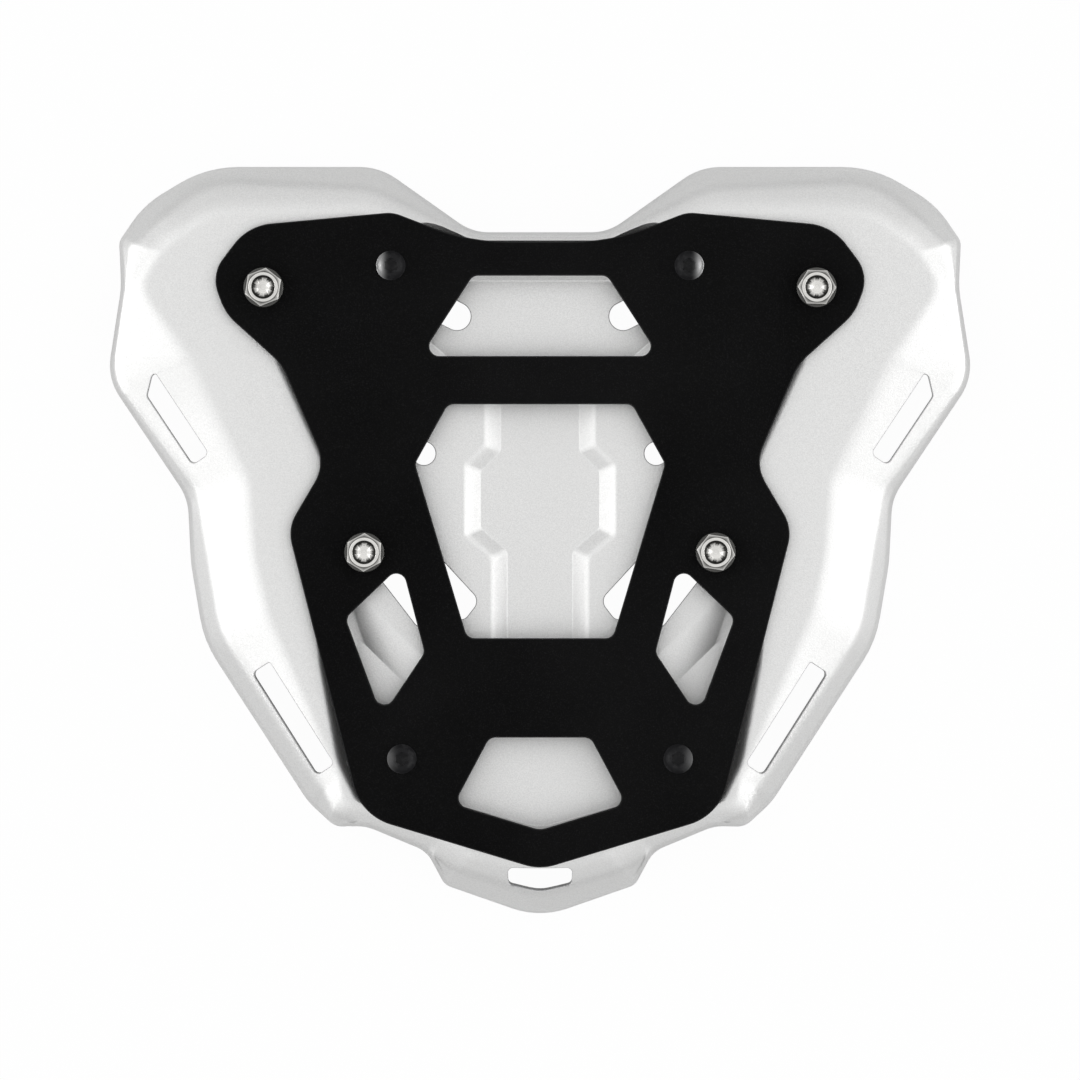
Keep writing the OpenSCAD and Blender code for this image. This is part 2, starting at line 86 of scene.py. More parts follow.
# Mouth of the pocket and foot of the channel: x, y, corner radius, plan width of the wall.
POCKET = [
    (-25, 118.8, 16, 9),
    (-47, 131.5, 10, 13),
    (-50, 117, 8, 8),
    (-45, 104, 8, 7),
    (-62, 96.5, 8, 7),
    (-90, 83, 12, 9),
    (-103, 72.5, 8, 13),
    (-82, 27.5, 14, 12),
    (-87, 2, 14, 10),
    (-84.5, -48, 24, 8),
    (-78.5, -86, 24, 6.5),
    (-70, -101, 8, 6.5),
    (-59, -104.5, 8, 6.5),
    (0, -121, 20, 6.5),
]
CHANNEL = [
    (-28, 101, 8, 5.9),
    (-42, 93, 5, 5),
    (-46.5, 85, 5, 5),
    (-46.5, 80.2, 4, 5.9),
    (-30, 66, 5, 5.9),
    (-15.3, 63, 4, 5.9),
    (-15.3, 34.6, 4, 5.9),
    (-23.2, 26.8, 3, 5.9),
    (-23.2, 4.6, 3, 5.9),
    (-12.7, -4.2, 4, 5.9),
    (-12.7, -68, 4, 5.9),
    (-35, -73.5, 5, 12),
    (-72.5, -36.5, 4, 12),
    (-72, -50, 12, 4.5),
    (-66.5, -82, 12, 4),
    (-62, -92.6, 6, 3),
    (-55.3, -96.6, 6, 2.5),
    (0, -112.3, 16, 2.5),
]
# Outlines of plate, windows, floor opening and lip slot: x, y and corner radius.
PLATE = [
    (-27.4, 116, 90),
    (-57.2, 127.4, 13),
    (-113.5, 122.2, 20),
    (-127.9, 103.2, 16),
    (-122.3, 88, 20),
    (-100.6, 68.4, 22),
    (-83.6, 29.3, 16),
    (-98.1, 4.6, 15),
    (-69.7, -107.1, 21),
    (0, -128.2, 20),
]
MIDDLE_WINDOWS = [
    [(-26.1, 102.8, 4.4), (-46.3, 71.5, 4.4)],
    [(-35.8, 52.8, 4.4), (-48.6, 29.6, 4.4), (-28.3, -38.2, 4.4)],
    [(-19.6, -76.8, 4.4), (-33.4, -102.7, 4.4), (0, -112.8, 8.8)],
]
SIDE_WINDOW = [(-53.8, -9.6, 4.4), (-75.6, -30.4, 4.4), (-61.5, -68.6, 4.4), (-44.9, -43.8, 4.4)]
FLOOR_OPENING = [(-44, -1.5, 6), (-63.5, -13.4, 3), (-47.6, -34, 3), (-29, -30.6, 3), (-23.6, -23.6, 4)]
LIP_SLOT = [(-12.6, 0, 2.2), (-12.3, -7.4, 2.2), (0, -10.2, 13.2)]
# Strap slots: name, first corner of their edge in TRAY, start along it, width, length, distance from
# the edge, and length of the slanted end.
STRAP_SLOTS = [
    ("wing_slot", 6, 9.3, 8, 37.5, 8.8, 5.4),
    ("side_slot", 9, 20.9, 8.8, 47, 8.9, 0),
]
SLOT_CORNER = 2.2
# How far a slot's cutting tool reaches up and down from the sheet.
SLOT_REACH = 14
# Y where the points of LIP_SLOT have their zero.
LIP_SLOT_Y = -126.9
# Holes for the carrier's bolts: x, y and radius, and for the long hole its travel and heading.
CARRIER_HOLE = (-45.2, 33.7, 4.5)
LONG_HOLE = (-32.4, 87.2, 5.4, 6.4, math.radians(153))
# Fasteners: name, x, y, and how far the sheet lies below the shoulder there.
CASE_BOLTS = [
    ("wide_left", -107.5, 98.2, 0),
    ("wide_right", 107.5, 98.2, 0),
    ("waist_left", -68.3, -4.8, 6.5),
    ("waist_right", 68.3, -4.8, 6.5),
]
PLATE_SCREWS = [
    ("wide_left", -58, 106.7, 0),
    ("wide_right", 58, 106.7, 0),
    ("lip_left", -53.7, -85.1, 10),
    ("lip_right", 53.7, -85.1, 10),
]
# How far a face may lie from its skin, in metres, and how well their normals have to agree.
SKIN_REACH = 0.0012
SKIN_MATCH = 0.8

# Plane geometry. Loops run anticlockwise seen from above.


def both_halves(half):
    return list(half) + [(-row[0], *row[1:]) for row in reversed(half) if row[0] != 0]


def mirrored(loop):
    return [(-row[0], *row[1:]) for row in reversed(loop)]


def inset_corner(rows, i, inset):
    here = Vector(rows[i][:2])
    a = (here - Vector(rows[i - 1][:2])).normalized()
    b = (Vector(rows[(i + 1) % len(rows)][:2]) - here).normalized()
    middle = (a + b).normalized()
    return here + Vector((-middle.y, middle.x)) * inset / math.sqrt((1 + a.dot(b)) / 2)


def corner_arc(a, b, c, radius, steps):
    """Points of an arc in the corner b between a and c, as in the part's source."""
    u, v = (a - b).normalized(), (c - b).normalized()
    weight = math.sqrt(max(0, (1 - u.dot(v)) / 2))
    half_tan = weight / math.sqrt(max(0.0001, (1 + u.dot(v)) / 2))
    cut = min(radius / half_tan, 0.47 * (a - b).length, 0.47 * (c - b).length)
    for k in range(steps + 1):
        s = k / steps
        start, mid, end = (1 - s) ** 2, 2 * weight * s * (1 - s), s * s
        yield (start * (b + u * cut) + mid * b + end * (b + v * cut)) / (start + mid + end)


def corner_steps(rows, fineness):
    """How many steps each corner of a loop gets, from the angle that the loop turns there."""
    steps = []
    for i, row in enumerate(rows):
        a = Vector(row[:2]) - Vector(rows[i - 1][:2])
        b = Vector(rows[(i + 1) % len(rows)][:2]) - Vector(row[:2])
        steps.append(max(3, math.ceil(math.degrees(a.angle(b)) / fineness)))
    return steps


def ring(rows, insets, heights, steps):
    corners = [inset_corner(rows, i, inset) for i, inset in enumerate(insets)]
    points = []
    for i, row in enumerate(rows):
        after = corners[(i + 1) % len(rows)]
        for p in corner_arc(corners[i - 1], corners[i], after, row[2], steps[i]):
            points.append(Vector((p.x, p.y, heights[i])))
    return points


def outline(rows, fineness=6, inset=0):
    flat = ring(rows, [inset] * len(rows), [0] * len(rows), corner_steps(rows, fineness))
    return [Vector((p.x, p.y)) for p in flat]


def rolled(coarse, bends, steps):
    """The rings of a skin, with a rolled bend at each coarse ring but the first and last."""
    rings = [coarse[0]]
    for k in range(1, len(coarse) - 1):
        for step in range(steps + 1):
            s = step / steps
            bend = []
            for a, b, c in zip(coarse[k - 1], coarse[k], coarse[k + 1]):
                start = b + (a - b) * min(bends[k - 1] / (a - b).length, 0.47)
                end = b + (c - b) * min(bends[k - 1] / (c - b).length, 0.47)
                bend.append((1 - s) ** 2 * start + 2 * s * (1 - s) * b + s * s * end)
            rings.append(bend)
    return rings + [coarse[-1]]


def offset_skin(rings, distance):
    """Each point of a skin's rings, moved along the skin's normal."""
    moved = []
    for k, loop in enumerate(rings):
        new = []
        for i, here in enumerate(loop):
            along = (loop[(i + 1) % len(loop)] - here).normalized() + (here - loop[i - 1]).normalized()
            across = Vector((0, 0, 0))
            if k > 0:
                across += (here - rings[k - 1][i]).normalized()
            if k < len(rings) - 1:
                across += (rings[k + 1][i] - here).normalized()
            new.append(here + distance * along.cross(across).normalized())
        moved.append(new)
    return moved


def at_height(points, z):
    return [Vector((p.x, p.y, z)) for p in points]


# Meshes


def new_object(name, mesh):
    piece = bpy.data.objects.new(name, mesh)
    bpy.context.scene.collection.objects.link(piece)
    return piece


def loft_mesh(name, rings, closed=True):
    """A mesh through rings of equal length, from the lowest to the highest, capped if closed."""
    n = len(rings[0])
    faces = []
    for k in range(len(rings) - 1):
        for i in range(n):
            a, b = k * n + i, k * n + (i + 1) % n
            faces.append((a, b, b + n, a + n))
    if closed:
        faces.append(tuple(reversed(range(n))))
        faces.append(tuple(range(len(rings) * n - n, len(rings) * n)))
    mesh = bpy.data.meshes.new(name)
    mesh.from_pydata([p * MM for loop in rings for p in loop], [], faces)
    return mesh


def prism(name, points, low, high, place=Matrix.Identity(4)):
    """A cutting tool: a plane loop of points between two heights, put in place by a matrix."""
    rings = [[place @ Vector((p.x, p.y, z)) for p in points] for z in (low, high)]
    return new_object(name, loft_mesh(name, rings))


def round_points(x, y, radius, steps=64):
    angles = [2 * math.pi * k / steps for k in range(steps)]
    return [Vector((x + radius * math.cos(a), y + radius * math.sin(a))) for a in angles]


def long_hole_points(x, y, radius, travel, heading):
    """A round-ended hole from (x, y) outwards, seen on the left side of the rack."""
    inner = Vector((x, y))
    outer = inner + travel * Vector((math.cos(heading), math.sin(heading)))
    points = []
    for middle, start in ((outer, heading - math.pi / 2), (inner, heading + math.pi / 2)):
        for k in range(65):
            a = start + math.pi * k / 64
            points.append(middle + radius * Vector((math.cos(a), math.sin(a))))
    return points


def cut(body, tools):
    """Cuts tools from body and keeps the result as its mesh."""
    for tool in tools:
        modifier = body.modifiers.new(tool.name, "BOOLEAN")
        modifier.operation = "DIFFERENCE"
        modifier.solver = "MANIFOLD"
        modifier.object = tool
    graph = bpy.context.evaluated_depsgraph_get()
    mesh = bpy.data.meshes.new_from_object(body.evaluated_get(graph))
    body.modifiers.clear()
    body.data = mesh
    for tool in tools:
        bpy.data.objects.remove(tool)


def keep(piece, slot, *nodes):
    """Puts a finished piece under the root body and hides the CAD nodes it stands in for."""
    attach(piece, "root")
    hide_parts(*nodes)


# Materials


class Value:
    """A shader socket that adds Math nodes when it is used in an expression."""

    def __init__(self, tree, socket):
        self.tree, self.socket = tree, socket

    def math(self, operation, a, b=None):
        node = self.tree.nodes.new("ShaderNodeMath")
        node.operation = operation
        for slot, value in zip(node.inputs, (a, b)):
            put(self.tree, slot, value)
        return Value(self.tree, node.outputs[0])

    def __add__(self, other):
        return self.math("ADD", self, other)

    def __sub__(self, other):
        return self.math("SUBTRACT", self, other)

    def __rsub__(self, other):
        return self.math("SUBTRACT", other, self)

    def __mul__(self, other):
        return self.math("MULTIPLY", self, other)

    def __pow__(self, other):
        return self.math("POWER", self, other)

    __radd__, __rmul__ = __add__, __mul__


def put(tree, slot, value):
    if isinstance(value, Value):
        tree.links.new(value.socket, slot)
    elif value is not None:
        slot.default_value = value


class Finish:
    """A material under construction. add() makes any node; dress() sets the shader's sockets."""

    def __init__(self, name):
        self.material = bpy.data.materials.new(name)
        self.material.use_nodes = True
        self.tree = self.material.node_tree
        self.shader = self.tree.nodes["Principled BSDF"]
        self.place = self.add("ShaderNodeTexCoord", output="Object")

    def add(self, kind, settings=None, values=None, output=0):
        node = self.tree.nodes.new(kind)
        for name, setting in (settings or {}).items():
            setattr(node, name, setting)
        for name, value in (values or {}).items():
            put(self.tree, node.inputs[name], value)
        return Value(self.tree, node.outputs[output])

    def noise(self, scale, detail, place=None):
        values = {"Vector": place or self.place, "Scale": scale, "Detail": detail, "Roughness": 0.5}
        return self.add("ShaderNodeTexNoise", {}, values, "Fac")

    def attribute(self, name, output):
        return self.add("ShaderNodeAttribute", {"attribute_name": name}, None, output)

    def spread(self, value, low, high, to_low=0.0, to_high=1.0):
        values = {"Value": value, "From Min": low, "From Max": high, "To Min": to_low, "To Max": to_high}
        return self.add("ShaderNodeMapRange", {"clamp": True}, values)

    def mix(self, factor, a, b):
        """A colour between a and b. 6, 7 and 2 are the Mix node's colour sockets."""
        return self.add("ShaderNodeMix", {"data_type": "RGBA"}, {"Factor": factor, 6: a, 7: b}, 2)

    def bump(self, height, strength, distance):
        values = {"Height": height, "Strength": strength, "Distance": distance}
        return self.add("ShaderNodeBump", {}, values, "Normal")

    def dress(self, **values):
        for name, value in values.items():
            put(self.tree, self.shader.inputs[name.replace("_", " ")], value)
        return self.material


def grey(level):
    return (level, level, level, 1)


def toned(color, share, more=0.0):
    """A colour made darker or lighter by a share, and lighter by a fixed amount."""
    return [min(1, c * share + more) for c in color[:3]] + [1]


def blasted_sheet(color):
    """Bead-blasted aluminium: a dense fine grain with a faint cloudiness from the blasting."""
    made = Finish("blasted_sheet")
    grain = made.noise(2300, 2.5)
    dimples = made.noise(1150, 1.5)
    cloud = made.noise(22, 3)
    shade = made.spread(grain, 0.3, 0.7) * 0.7 + made.spread(dimples, 0.3, 0.7) * 0.3
    tone = made.mix(shade, toned(color, 0.86), toned(color, 1.06))
    return made.dress(
        Base_Color=made.mix(made.spread(cloud, 0.35, 0.7, 0.0, 0.35), tone, toned(color, 0.93)),
        Metallic=1.0,
        Roughness=made.spread(cloud, 0.3, 0.7, 0.40, 0.46) + (grain - 0.5) * 0.10,
        Normal=made.bump(grain * 0.6 + dimples * 0.4, 0.32, 0.00022),
    )


def cut_edge(color):
    """The laser-cut edge of the sheet and its broken corners: fine upright lines, duller than the faces."""
    made = Finish("cut_edge")
    place = made.add("ShaderNodeMapping", {}, {"Vector": made.place, "Scale": (1, 1, 0.06)})
    lines = made.noise(2600, 3, place)
    return made.dress(
        Base_Color=made.mix(made.spread(lines, 0.35, 0.65), toned(color, 0.72), color),
        Metallic=0.6,
        Roughness=made.spread(lines, 0.3, 0.7, 0.5, 0.62),
        Normal=made.bump(lines, 0.25, 0.00012),
    )


def powder_coat(color):
    """Matt black powder coat: a fine orange peel, lighter grains and a painted highlight on the rounded top
    edges.
    """
    made = Finish("powder_coat")
    grain = made.noise(1900, 2)
    peel = made.noise(520, 2)
    haze = made.noise(14, 3)
    speck = made.spread(made.noise(2300, 1), 0.54, 0.74)
    tone = made.mix(made.spread(haze, 0.3, 0.7, 0.0, 0.3) + speck * 0.7, color, toned(color, 3, 0.005))
    return made.dress(
        # Painted highlight: the points marked in the attribute 'edge' get a lighter colour.
        Base_Color=made.mix(made.attribute("edge", "Fac"), tone, toned(color, 1, 0.022)),
        Roughness=made.spread(grain, 0.3, 0.7, 0.52, 0.68),
        Normal=made.bump(grain * 0.55 + peel * 0.45, 0.35, 0.00016),
        Specular_IOR_Level=0.03,
    )


def turned_metal(name, color, rough, spacing):
    """Turned or cold-headed metal, with painted shade in its corners.

    The attribute 'turning' holds a point's place on its own axis, and a second attribute holds the share of
    painted shade, which takes the colour nearly to black.
    """
    made = Finish(name)
    own = made.attribute("turning", "Vector")
    flat = made.add("ShaderNodeVectorMath", {"operation": "MULTIPLY"}, {0: own, 1: (1, 1, 0)})
    radius = made.add("ShaderNodeVectorMath", {"operation": "LENGTH"}, {0: flat}, "Value")
    height = made.add("ShaderNodeSeparateXYZ", {}, {"Vector": own}, "Z")
    spun = made.add("ShaderNodeCombineXYZ", {}, {"X": radius, "Z": height})
    rings = made.noise(1 / (spacing * MM), 2, spun)
    fine = made.noise(2400, 2)
    cloud = made.noise(260, 2)
    tone = made.mix(made.spread(rings * 0.6 + cloud * 0.4, 0.35, 0.65), toned(color, 0.78), color)
    return made.dress(
        # Painted shade: where the mesh marks it, the colour goes nearly black, standing in for the shade in
        # recesses and between parts.
        Base_Color=made.mix(made.attribute("soot", "Fac"), tone, [0.012, 0.012, 0.011, 1]),
        Metallic=1.0,
        Roughness=made.spread(cloud, 0.3, 0.7, rough * 0.85, rough * 1.2) + (rings - 0.5) * 0.12,
        Normal=made.bump(rings * 0.5 + fine * 0.5, 0.18, 0.00008),
    )


def black_oxide(name, color, painted_highlight_share):
    """Black oxide over steel: dull, with a painted highlight on the outer side of a head."""
    made = Finish(name)
    outward = made.add("ShaderNodeSeparateXYZ", {}, {"Vector": made.attribute("turning", "Vector")}, "X")
    grain = made.noise(2100, 2)
    # Painted highlight: towards the head's outer side the colour turns lighter and metallic and the roughness
    # drops, for the crescent of light there.
    painted_highlight = made.spread(outward, 0.0004, 0.0054) ** 2.6 * painted_highlight_share
    return made.dress(
        Base_Color=made.mix(painted_highlight + made.spread(made.noise(420, 3), 0.5, 0.8, 0, 0.02), color, grey(0.95)),
        Metallic=painted_highlight,
        Roughness=made.spread(grain, 0.3, 0.7, 0.36, 0.50) - painted_highlight * 0.14,
        Normal=made.bump(grain, 0.2, 0.0001),
        Specular_IOR_Level=0.12,
    )


# Settings


def number(name, text, default, **limits):
    """A length, angle, share or strength that the operators read."""
    return bpy.props.FloatProperty(name=name, description=text, default=default, **limits)


def tint(name, text, *color):
    """An opaque colour that the operators read."""
    return bpy.props.FloatVectorProperty(
        name=name, description=text, subtype="COLOR", size=4, default=(*color, 1)
    )


class RackTray(bpy.types.PropertyGroup):
    """Sizes and colours of the pressed tray, in millimetres and degrees."""

    sheet: number("Sheet", "Thickness of the sheet", 3.0, min=2.5, max=3.4)
    skirt: number("Skirt", "Plan width of the near-vertical skirt", 1.4)
    drop: number("Shoulder drop", "Greatest drop of the shoulder", 7.0)
    shoulder: number("Shoulder slope", "Steepest shoulder, degrees", 28.0)
    flange: number("Flange slope", "Slope of the flange, degrees", 55.0)
    soft_bend: number("Soft bend", "Bend at the shoulder's edge", 6.0)
    hard_bend: number("Flange bend", "Bend at the flange's top", 3.5)
    pocket: number("Pocket", "Depth of the pocket", 6.5)
    pocket_bend: number("Pocket bend", "Bend at the pocket's mouth", 5.0)
    channel: number("Channel", "Depth of the channel in the pocket", 3.5)
    channel_bend: number("Channel bend", "Bend at the channel's mouth", 2.6)
    foot_share: number("Foot bend", "Bend at a wall's foot, as a share", 0.25)
    bend_steps: bpy.props.IntProperty(
        name="Bend steps", description="Steps in each rolled bend", default=8, min=2
    )
    broken: number("Broken edge", "Chamfer around the openings", 0.3)
    lean: number("Slot lean", "Lean of a strap slot, as a share of the slope", 0.4)
    metal: tint("Metal", "Blasted aluminium", 0.79, 0.79, 0.785)
    edge: tint("Cut edge", "Cut edge of the sheet", 0.74, 0.74, 0.74)


class RackPlate(bpy.types.PropertyGroup):
    """Sizes and colour of the adapter plate, in millimetres."""

    edge: number("Edge", "Radius of the plate's rounded edges", 0.5)
    coat: tint("Coat", "Powder coat", 0.0018, 0.0018, 0.0019)


class RackFasteners(bpy.types.PropertyGroup):
    """Sizes and colours of bolts, screws, nuts, washers and spacers, in millimetres."""

    bolt_d: number("Bolt", "Thread of the hex bolts", 8.0)
    bolt_af: number("Hex", "Width across the flats", 13.0)
    bolt_head: number("Hex height", "Height of the hex head", 6.8)
    lobes: number("Lobes", "Diameter of the six-lobe recess", 7.0)
    lobes_deep: number("Lobe depth", "Depth of the six-lobe recess", 2.6)
    washer_d: number("Washer", "Diameter of the washers", 15.4)
    washer_t: number("Washer thickness", "Thickness of a washer", 1.6)
    bolt_pitch: number("Bolt pitch", "Pitch of the hex bolts' thread", 1.25)
    bolt_turn: number("Bolt turn", "Turn of a hex head on the middle line, degrees", 10.0)
    screw_d: number("Screw", "Thread of the button screws", 6.0)
    screw_pitch: number("Screw pitch", "Pitch of the button screws' thread", 1.0)
    screw_head_d: number("Button", "Diameter of a button head", 11.4)
    screw_head: number("Button height", "Height of a button head", 3.25)
    socket: number("Socket", "Width of the hex socket", 4.6)
    nut_ratio: number("Nut", "Nut height as a share of thread", 0.95)
    screw_nut_af: number("Screw nut", "Width of a screw's nut", 10.0)
    thread_out: number("Thread out", "Thread beyond the nut", 1.2)
    spacer_d: number("Spacer", "Diameter of the spacers", 14.0)
    play: number("Play", "Bore of nut, washer or spacer minus thread", 0.3)
    clear: number("Clearance", "Bore of sheet or plate minus thread, on the radius", 0.25)
    nut_gap: number("Nut gap", "Gap between nut and sheet", 0.05)
    steel: tint("Steel", "Stainless steel", 0.84, 0.83, 0.80)
    zinc: tint("Zinc", "Zinc plating", 0.62, 0.63, 0.63)
    spacer: tint("Spacer metal", "Turned aluminium", 0.70, 0.70, 0.71)
    black: tint("Black", "Black oxide", 0.010, 0.010, 0.011)


class RackStage(bpy.types.PropertyGroup):
    """Camera, light and floor."""

    camera_height: number("Camera height", "Camera above the rack", 5.0, unit="LENGTH")
    picture_width: number("Picture width", "Width that the picture shows", 0.4212, unit="LENGTH")
    zenith: number("Zenith", "Brightness straight above", 0.88)
    horizon: number("Horizon", "Brightness at the horizon", 0.36)
    ahead: number("Ahead", "Extra brightness halfway up towards +Y", 0.35)
    behind: number("Behind", "Extra brightness halfway up towards -Y", 0.55)
    side_light: number("Side light", "Power of each soft box", 4.2)
    low_light: number("Low light", "Power of each low strip", 4.2)


# The tray


def tray_skin(sizes):
    """The tray's upper skin from the rim up to the flat shoulder, with its rows and corner steps."""
    rows = both_halves(TRAY)
    steps = corner_steps(rows, 6)
    drops = [min(sizes.drop, row[4] * math.tan(math.radians(sizes.shoulder))) for row in rows]
    steep = math.tan(math.radians(sizes.flange))
    insets = [
        [0 for row in rows],
        [sizes.skirt for row in rows],
        [sizes.skirt + row[3] for row in rows],
        [sizes.skirt + row[3] + row[4] for row in rows],
        [sizes.skirt + row[3] + row[4] + sizes.soft_bend for row in rows],
    ]
    heights = [
        [row[5] for row in rows],
        [TRAY_TOP - drop - row[3] * steep for row, drop in zip(rows, drops)],
        [TRAY_TOP - drop for drop in drops],
        [TRAY_TOP for row in rows],
        [TRAY_TOP for row in rows],
    ]
    coarse = [ring(rows, inset, height, steps) for inset, height in zip(insets, heights)]
    bends = [sizes.skirt, sizes.hard_bend, sizes.soft_bend]
    return rows, steps, rolled(coarse, bends, sizes.bend_steps)


def tub_skin(sizes, half, at_floor, top, floor, bend):
    """The skin of the pocket or the channel. at_floor says that the half outline is its foot."""
    rows = both_halves(half)
    steps = corner_steps(rows, 8)
    walls = [row[3] for row in rows]
    feet = [0 if at_floor else wall for wall in walls]
    low, high = [floor] * len(rows), [top] * len(rows)
    coarse = [
        ring(rows, [foot + 0.4 for foot in feet], low, steps),
        ring(rows, feet, low, steps),
        ring(rows, [foot - wall for foot, wall in zip(feet, walls)], high, steps),
        ring(rows, [foot - wall - bend for foot, wall in zip(feet, walls)], [top + 0.02] * len(rows), steps),
    ]
    return rolled(coarse, [sizes.foot_share * bend, bend], sizes.bend_steps)


def tub_body(name, skin):
    return new_object(name, loft_mesh(name, skin + [at_height(skin[-1], TRAY_TOP + 20)]))


def edge_slot(row, sizes, side):
    """The tool for a strap slot beside an edge of the outline, leaning with the sloping sheet."""
    name, i, start, width, length, edge, slant = row
    a, b = Vector(TRAY[i][:2]), Vector(TRAY[i + 1][:2])
    shoulder = (TRAY[i][4] + TRAY[i + 1][4]) / 2
    loop = [(-length / 2, width / 2, SLOT_CORNER)]
    loop += [(-length / 2, width / 4, SLOT_CORNER), (slant - length / 2, -width / 2, SLOT_CORNER)]
    loop += [(length / 2, -width / 2, SLOT_CORNER), (length / 2, width / 2, SLOT_CORNER)]
    place = (
        Matrix.Translation((a.x, a.y, 0))
        @ Matrix.Rotation(math.atan2(b.y - a.y, b.x - a.x), 4, "Z")
        @ Matrix.Translation((start + length / 2, edge + width / 2, TRAY_TOP - sizes.drop / 2))
        @ Matrix.Rotation(sizes.lean * math.atan2(sizes.drop, shoulder), 4, "X")
    )
    points = outline(loop)
    if side > 0:
        place = Matrix.Scale(-1, 4, (1, 0, 0)) @ place
        points.reverse()
    return prism(name, points, -SLOT_REACH, SLOT_REACH, place)


def tray_cutters(sizes, fasteners):
    cutters = []
    for side in (-1, 1):
        x, y, radius = CARRIER_HOLE
        opening, long_hole = FLOOR_OPENING, long_hole_points(*LONG_HOLE)
        if side > 0:
            opening = mirrored(opening)
            long_hole = [Vector((-p.x, p.y)) for p in reversed(long_hole)]
        cutters += [edge_slot(row, sizes, side) for row in STRAP_SLOTS]
        cutters.append(prism("opening", outline(opening), 0, TRAY_TOP + 1))
        cutters.append(prism("carrier", round_points(-side * x, y, radius), 0, TRAY_TOP + 1))
        cutters.append(prism("long", long_hole, 0, TRAY_TOP + 1))
    tilt = Matrix.Rotation(math.atan2(sizes.drop, TRAY[-1][4]) / 2, 4, "X")
    place = Matrix.Translation((0, LIP_SLOT_Y, TRAY_TOP - sizes.drop / 2)) @ tilt
    cutters.append(prism("lip_slot", outline(both_halves(LIP_SLOT)), -SLOT_REACH, SLOT_REACH, place))
    for table, thread in ((CASE_BOLTS, fasteners.bolt_d), (PLATE_SCREWS, fasteners.screw_d)):
        for name, x, y, lower in table:
            hole = round_points(x, y, thread / 2 + fasteners.clear)
            cutters.append(prism(f"bore_{name}", hole, 0, TRAY_TOP + 1))
    return cutters


def follow_skins(piece, skins):
    """Gives each face that lies on a skin that skin's smooth normals, and the cut faces their material."""
    sources = []
    for rings in skins:
        mesh = loft_mesh("skin", rings, closed=False)
        normals = [v.normal.copy() for v in mesh.vertices]
        places = [v.co.copy() for v in mesh.vertices]
        faces = [tuple(p.vertices) for p in mesh.polygons]
        sources.append((BVHTree.FromPolygons(places, faces), places, faces, normals))
        bpy.data.meshes.remove(mesh)
    mesh = piece.data
    loops = [None] * len(mesh.loops)
    for face in mesh.polygons:
        best = None
        for source in sources:
            spot, normal, index, distance = source[0].find_nearest(face.center, SKIN_REACH)
            if spot is not None and abs(normal.dot(face.normal)) > SKIN_MATCH:
                if best is None or distance < best[0]:
                    best = (distance, source)
        face.use_smooth = True
        upright = abs(face.normal.z) > 0.9999
        face.material_index = 0 if best or upright else 1
        for k in face.loop_indices:
            normal = face.normal
            if best is not None:
                tree, places, faces, normals = best[1]
                at = mesh.vertices[mesh.loops[k].vertex_index].co
                spot, _, index, _ = tree.find_nearest(at)
                weights = poly_3d_calc([places[v] for v in faces[index]], spot)
                normal = sum((normals[v] * w for v, w in zip(faces[index], weights)), Vector((0, 0, 0)))
                normal.normalize()
                if normal.dot(face.normal) < 0:
                    normal = -normal
            loops[k] = normal
    mesh.normals_split_custom_set(loops)


def break_edges(piece, width):
    """Chamfers the upper edges of all openings: those between a face of the skin and a cut face."""
    mesh = bmesh.new()
    mesh.from_mesh(piece.data)
    edges = []
    for edge in mesh.edges:
        if edge.is_manifold and sum(face.material_index for face in edge.link_faces) == 1:
            skin = next(face for face in edge.link_faces if face.material_index == 0)
            if skin.normal.z > 0.3 and edge.calc_length() > 0.0:
                edges.append(edge)
    bmesh.ops.bevel(
        mesh, geom=edges, offset=width * MM, offset_type="OFFSET", segments=1, profile=0.5,
        affect="EDGES", clamp_overlap=False, material=1,
    )
    mesh.to_mesh(piece.data)
    mesh.free()


class RACK_OT_tray(bpy.types.Operator):
    """Build the pressed tray with its smooth bends, slots and openings"""

    bl_idname = "rack.tray"
    bl_label = "Pressed tray"

    def execute(self, context):
        sizes, fasteners = context.scene.rack_tray, context.scene.rack_fasteners
        rows, steps, skin = tray_skin(sizes)
        under = offset_skin(skin, -sizes.sheet)
        floor = TRAY_TOP - sizes.pocket
        pocket = tub_skin(sizes, POCKET, False, TRAY_TOP, floor, sizes.pocket_bend)
        channel = tub_skin(sizes, CHANNEL, True, floor, floor - sizes.channel, sizes.channel_bend)
        pocket_under, channel_under = offset_skin(pocket, sizes.sheet), offset_skin(channel, sizes.sheet)

        tray = new_object("tray", loft_mesh("tray", [at_height(skin[0], -2)] + skin))
        edge = [row[5] for row in rows]
        outside = ring(rows, [-2] * len(rows), edge, steps)
        rim = ring(rows, [sizes.sheet] * len(rows), edge, steps)
        hollow_rings = [at_height(outside, -4), outside, rim] + under[2:]
        hollow = new_object("hollow", loft_mesh("hollow", hollow_rings))
        cut(hollow, [tub_body("pocket_wall", pocket_under), tub_body("channel_wall", channel_under)])
        tubs = [tub_body("pocket", pocket), tub_body("channel", channel)]
        cut(tray, [hollow] + tubs + tray_cutters(sizes, fasteners))

        tray.data.materials.clear()
        tray.data.materials.append(blasted_sheet(list(sizes.metal)))
        tray.data.materials.append(cut_edge(list(sizes.edge)))
        skins = [skin, under, pocket, channel, pocket_under, channel_under]
        follow_skins(tray, skins)
        break_edges(tray, sizes.broken)
        follow_skins(tray, skins)
        across = [v.co.x for v in tray.data.vertices]
        tray.data.transform(Matrix.Scale(TRAY_WIDTH * MM / (max(across) - min(across)), 4, (1, 0, 0)))
        keep(tray, "tray", "pressed_tray")
        return {"FINISHED"}


# The adapter plate


